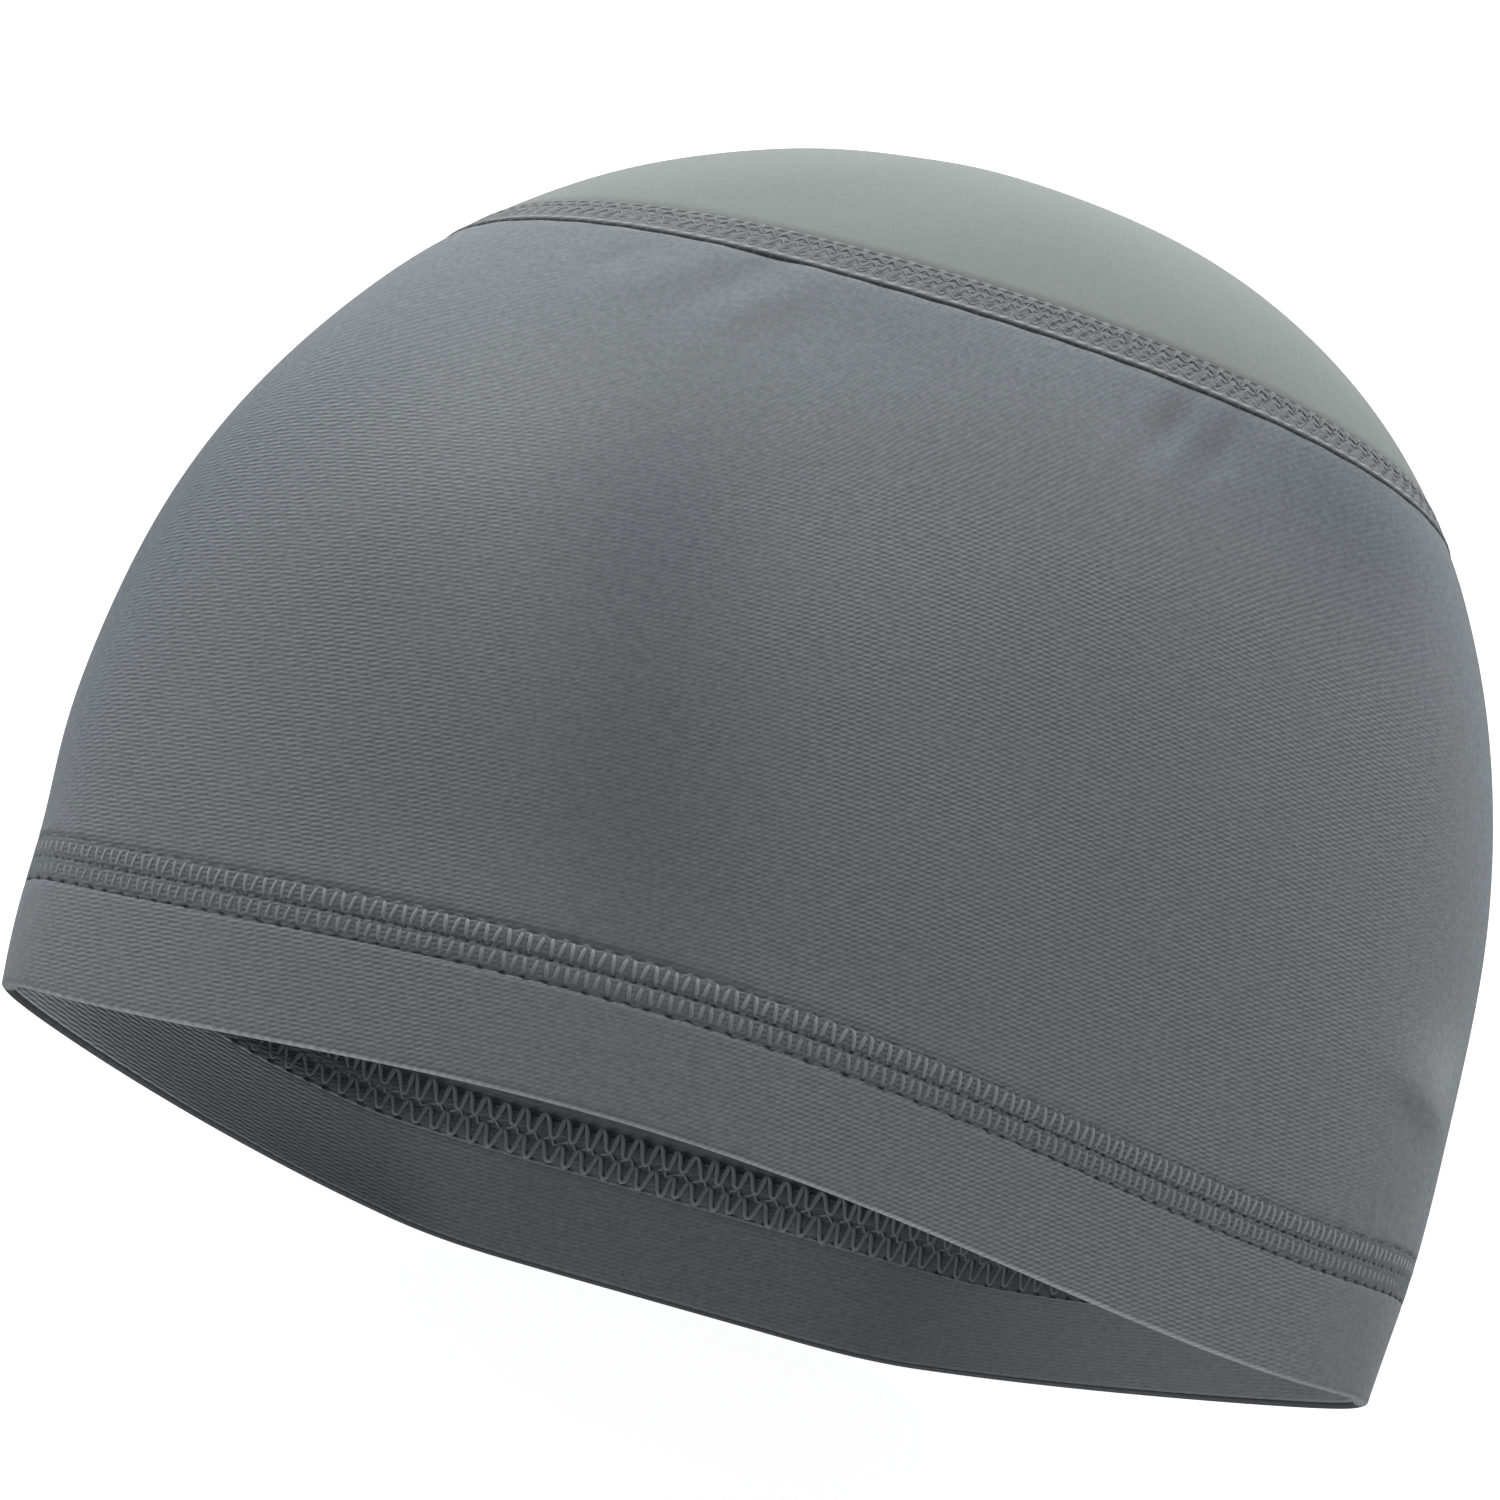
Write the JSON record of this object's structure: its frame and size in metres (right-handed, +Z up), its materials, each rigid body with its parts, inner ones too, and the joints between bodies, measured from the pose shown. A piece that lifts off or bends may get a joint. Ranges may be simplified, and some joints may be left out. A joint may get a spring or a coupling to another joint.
{
  "type": "knitted stretch skull cap",
  "caption": "Close-fitting domed skull cap of thin stretch knit with an oval crown panel, a wrap-round body panel and a wide stitched hem, lying on its side with its mouth open.",
  "frame": {"origin": "on the surface that the cap lies on, under the middle of its bounding box", "axes": "+X along the rim between the side folds, +Y from the mouth to the crown, +Z up from the wall that lies down to the upper wall"},
  "size_m": [0.2248, 0.1862, 0.0944],
  "materials": {
    "crown_knit": "matte light grey nylon and elastane jersey",
    "body_knit": "matte mid grey nylon and elastane jersey",
    "hem_knit": "matte mid grey double jersey",
    "seam_knit": "matte grey jersey under cover stitching",
    "stitch_thread": "matte grey polyester sewing thread"
  },
  "bodies": {
    "root": {"crown_panel": "crown_knit", "crown_seam": "seam_knit", "body_panel": "body_knit", "hem_seam": "seam_knit", "hem_band": "hem_knit"}
  },
  "joints": []
}
